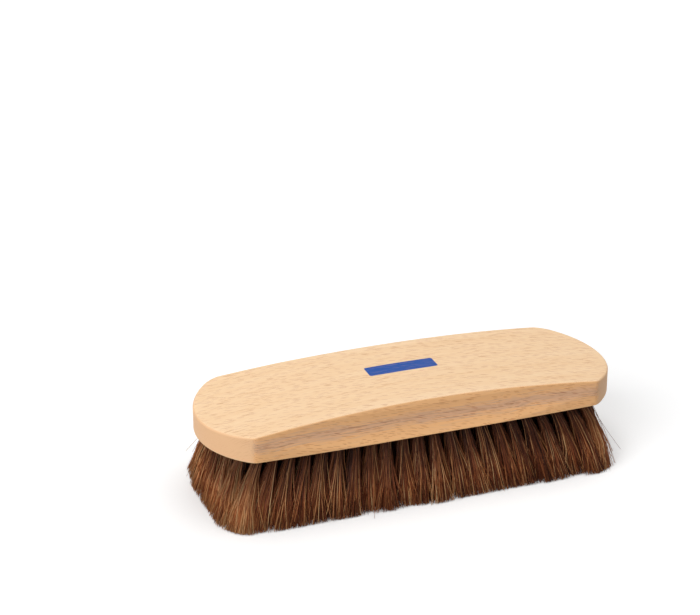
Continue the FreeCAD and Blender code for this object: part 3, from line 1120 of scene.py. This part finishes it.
        # Across the map is the strand's tone, a little wide for its sides, and up it the place along it,
        # which starts at the hair's root shade: the inner tufts' roots take more painted shade than the rim
        # tufts'.
        tone = hairs.tones[:, None] + self.map_width * model[corners, 0]
        shade = hairs.shades[:, None]
        place = shade + (self.map_top - shade) * model[corners, 2]
        spots = np.stack([tone, place], 2).astype(np.float32)
        mesh.uv_layers.new(name=HAIR_MAP)
        mesh.uv_layers[HAIR_MAP].data.foreach_set("uv", spots.ravel())
        mesh.update(calc_edges=True)
        mesh.validate()
        mesh.shade_smooth()
        piece = bpy.data.objects.new(mesh.name, mesh)
        bpy.context.collection.objects.link(piece)
        return piece

    def dress(self, piece: bpy.types.Object, hair: bpy.types.Material) -> None:
        """Gives the row its hair material and puts it in the solid tufts' place.

        Args:
            piece: The row of tufts.
            hair: The material that all the rows share.
        """
        piece.data.materials.append(hair)
        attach(piece, BODY)
        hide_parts(f"tuft_row_{self.column + 1:02d}")


@dataclass
class WireAnchors:
    """The flat wire anchors that pin the tufts, kept as the solids they are."""

    finish: DrawnWireFinish = field(default_factory=DrawnWireFinish)

    def dress(self, nodes: Mapping[str, bpy.types.Object]) -> int:
        """Gives every anchor row its steel.

        Args:
            nodes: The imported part's nodes by name.

        Returns:
            How many rows were dressed.
        """
        steel = self.finish.material()
        rows = [piece for name, piece in nodes.items() if name.startswith("anchor_row_")]
        for piece in rows:
            piece.data.materials.clear()
            piece.data.materials.append(steel)
        return len(rows)


@dataclass(frozen=True)
class Lamp:
    """A broad lamp: where it shines from, its level on white paper and the angle it fills, in degrees."""

    name: str
    source: tuple[float, float, float]
    level: float
    softness: float


@dataclass
class Studio:
    """A white paper floor, a broad soft key from the left, a lamp overhead, even fill, and the camera."""

    camera_mm: tuple[float, float, float] = (-283.15, -695.69, 397.89)
    aim: tuple[float, float, float] = (0.3201, 0.8597, -0.398)
    lens: float = 102.857
    clip_metres: tuple[float, float] = (0.01, 50.0)
    key: Lamp = Lamp("key", (-0.8, -0.46, 0.4), 0.64, 60.0)
    overhead: Lamp = Lamp("overhead", (0.1, 0.05, 1.0), 0.42, 60.0)
    fill_level: float = 0.3
    floor_metres: float = 14.0
    floor_cuts: int = 8
    floor_drop_mm: float = 0.2
    finish: PaperFloorFinish = field(default_factory=PaperFloorFinish)

    def floor(self) -> None:
        """Lays the paper floor a hair's breadth under the trim."""
        deselect_all()
        bpy.ops.mesh.primitive_grid_add(
            x_subdivisions=self.floor_cuts,
            y_subdivisions=self.floor_cuts,
            size=self.floor_metres,
            location=(0, 0, -self.floor_drop_mm * MM),
        )
        piece = bpy.context.object
        piece.name = "floor"
        piece.data.materials.append(self.finish.material())

    def light(self) -> None:
        """Sets the two broad lamps and the fill, with a backdrop that is seen as white."""
        for lamp in (self.key, self.overhead):
            data = bpy.data.lights.new(lamp.name, "SUN")
            data.energy = lamp.level * math.pi
            data.angle = math.radians(lamp.softness)
            piece = bpy.data.objects.new(lamp.name, data)
            piece.rotation_mode = "QUATERNION"
            piece.rotation_quaternion = Vector(lamp.source).to_track_quat("Z", "Y")
            bpy.context.collection.objects.link(piece)
        world = bpy.data.worlds.new("studio")
        world.use_nodes = True
        tree = world.node_tree
        tree.nodes.clear()
        inputs = {"Value": shown_white(tree), "To Min": self.fill_level, "To Max": 1.0}
        level = add_node(tree, "MapRange", inputs=inputs)
        sky = add_node(tree, "Background", inputs={"Color": WHITE, "Strength": level})
        add_node(tree, "OutputWorld", inputs={"Surface": sky})
        bpy.context.scene.world = world

    def camera(self) -> None:
        """Stands the camera at the photograph's viewing angle."""
        data = bpy.data.cameras.new("camera")
        data.lens = self.lens
        data.clip_start, data.clip_end = self.clip_metres
        piece = bpy.data.objects.new("camera", data)
        piece.location = Vector(self.camera_mm) * MM
        piece.rotation_mode = "QUATERNION"
        piece.rotation_quaternion = Vector(self.aim).to_track_quat("-Z", "Y")
        bpy.context.collection.objects.link(piece)
        bpy.context.scene.camera = piece


def main() -> None:
    """Builds and dresses the brush, then the studio round it."""
    logging.basicConfig(level=logging.INFO, format="%(name)s: %(message)s")
    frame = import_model()
    block = BeechBlock()
    tufts = TuftField(block)
    wood = block.build(tufts.drills())
    block.dress(wood)
    LOG.info("%s: %d faces", wood.name, len(wood.data.polygons))
    hair = HorsehairFinish().material()
    strand = HairRow(tufts, 0).strand()
    for column in range(tufts.rows_along):
        row = HairRow(tufts, column)
        piece = row.build(strand)
        row.dress(piece, hair)
        LOG.info("%s: %d faces", piece.name, len(piece.data.polygons))
    bpy.data.objects.remove(strand)
    LOG.info("anchors: %d rows", WireAnchors().dress(frame["nodes"]))
    studio = Studio()
    studio.floor()
    studio.light()
    studio.camera()
    bpy.context.scene.view_settings.view_transform = "Standard"


if __name__ == "__main__":
    main()
